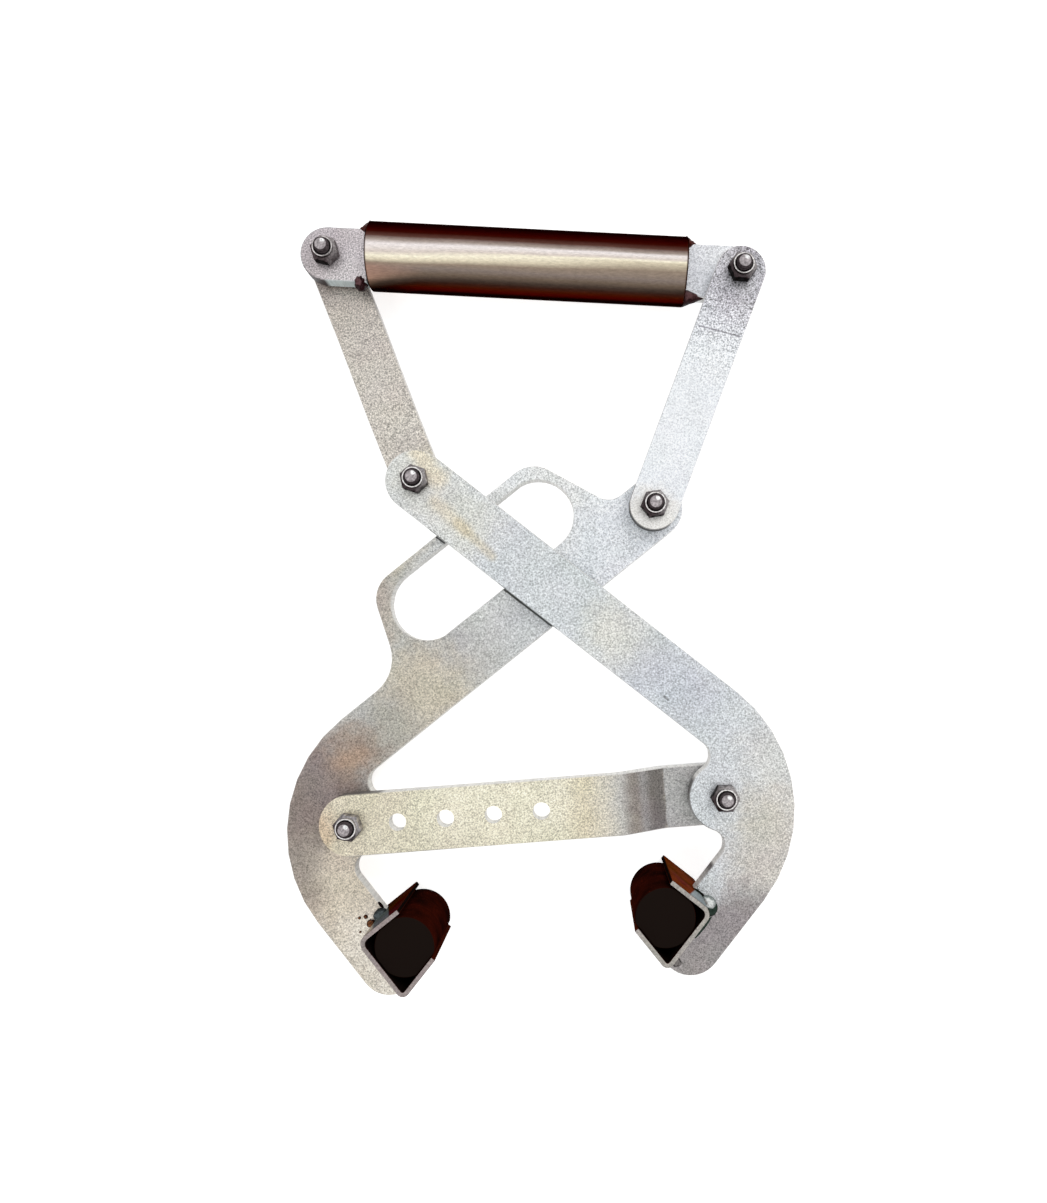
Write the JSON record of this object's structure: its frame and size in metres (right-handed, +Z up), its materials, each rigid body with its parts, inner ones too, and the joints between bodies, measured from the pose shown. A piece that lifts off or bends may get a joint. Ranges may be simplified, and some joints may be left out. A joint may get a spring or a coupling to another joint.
{
  "type": "paver lifting clamp",
  "caption": "Scissor clamp that squeezes a paver or kerb between two rubber-faced jaws as its tube handle is lifted; spare holes in the tie bar set the width.",
  "frame": {"origin": "on the ground under the middle of the clamp as it lies on its back", "axes": "+X along the tie bar, +Y from the jaws towards the handle, +Z up out of the plates towards the nuts"},
  "size_m": [0.2774, 0.4116, 0.05],
  "materials": {
    "zinc_pale": "bright zinc plate, pale blue-grey, fine grain",
    "zinc_warm": "zinc plate with a warm grey-yellow tint, fine grain",
    "zinc_tube": "smooth glossy zinc plate on round tube",
    "zinc_sheet": "zinc-plated folded sheet, satin",
    "bolt_zinc": "bright zinc-plated fasteners",
    "weld_metal": "rough weld bead, brown-grey",
    "nylon": "nylon ring of a lock nut",
    "rubber": "matte black solid rubber"
  },
  "bodies": {
    "tie_bar": {"tie_bar": "zinc_warm", "bolt_tie_left": "bolt_zinc", "nut_tie_left": "bolt_zinc", "insert_tie_left": "nylon", "washer_tie_left": "bolt_zinc", "bolt_tie_right": "bolt_zinc", "nut_tie_right": "bolt_zinc", "insert_tie_right": "nylon", "washer_tie_right": "bolt_zinc"},
    "back_arm": {"back_arm": "zinc_warm", "left_jaw_channel": "zinc_sheet", "left_jaw_rubber": "rubber", "left_jaw_weld_upper": "weld_metal", "left_jaw_weld_foot": "weld_metal", "bolt_link_right": "bolt_zinc", "nut_link_right": "bolt_zinc", "insert_link_right": "nylon", "washer_link_right": "bolt_zinc"},
    "front_arm": {"front_arm": "zinc_pale", "right_jaw_channel": "zinc_sheet", "right_jaw_rubber": "rubber", "right_jaw_weld_upper": "weld_metal", "right_jaw_weld_foot": "weld_metal", "bolt_link_left": "bolt_zinc", "nut_link_left": "bolt_zinc", "insert_link_left": "nylon", "washer_link_left": "bolt_zinc"},
    "left_link": {"left_link": "zinc_warm", "bolt_handle_left": "bolt_zinc", "nut_handle_left": "bolt_zinc", "insert_handle_left": "nylon", "washer_handle_left": "bolt_zinc"},
    "right_link": {"right_link": "zinc_pale", "bolt_handle_right": "bolt_zinc", "nut_handle_right": "bolt_zinc", "insert_handle_right": "nylon", "washer_handle_right": "bolt_zinc"},
    "handle": {"handle_tube": "zinc_tube", "handle_tab_left": "zinc_pale", "handle_tab_right": "zinc_pale", "handle_weld_top_left": "weld_metal", "handle_weld_low_left": "weld_metal", "handle_weld_top_right": "weld_metal", "handle_weld_low_right": "weld_metal"}
  },
  "joints": [
    {"name": "back_arm_swing", "type": "hinge", "parent": "tie_bar", "child": "back_arm", "pos_m": [-0.10186, -0.11267, 0.01995], "axis": [0, 0, 1], "range_deg": [-20, 4.5]},
    {"name": "front_arm_swing", "type": "hinge", "parent": "tie_bar", "child": "front_arm", "pos_m": [0.09314, -0.11267, 0.01995], "axis": [0, 0, 1], "range_deg": [-2.5, 1.5]},
    {"name": "left_link_swing", "type": "hinge", "parent": "front_arm", "child": "left_link", "pos_m": [-0.05416, 0.06414, 0.01995], "axis": [0, 0, 1], "range_deg": [-24, 7]},
    {"name": "right_link_swing", "type": "hinge", "parent": "back_arm", "child": "right_link", "pos_m": [0.06914, 0.04133, 0.01995], "axis": [0, 0, 1], "range_deg": [-7, 24.5]},
    {"name": "handle_swing", "type": "hinge", "parent": "left_link", "child": "handle", "pos_m": [-0.09297, 0.18925, 0.01995], "axis": [0, 0, 1], "range_deg": [-2, 5]}
  ],
  "couplings": [
    {"joint": "front_arm_swing", "follows": "back_arm_swing", "ratio": 0.07417},
    {"joint": "left_link_swing", "follows": "back_arm_swing", "ratio": 1.1422},
    {"joint": "right_link_swing", "follows": "back_arm_swing", "ratio": -1.1511},
    {"joint": "handle_swing", "follows": "back_arm_swing", "ratio": -0.19896}
  ]
}
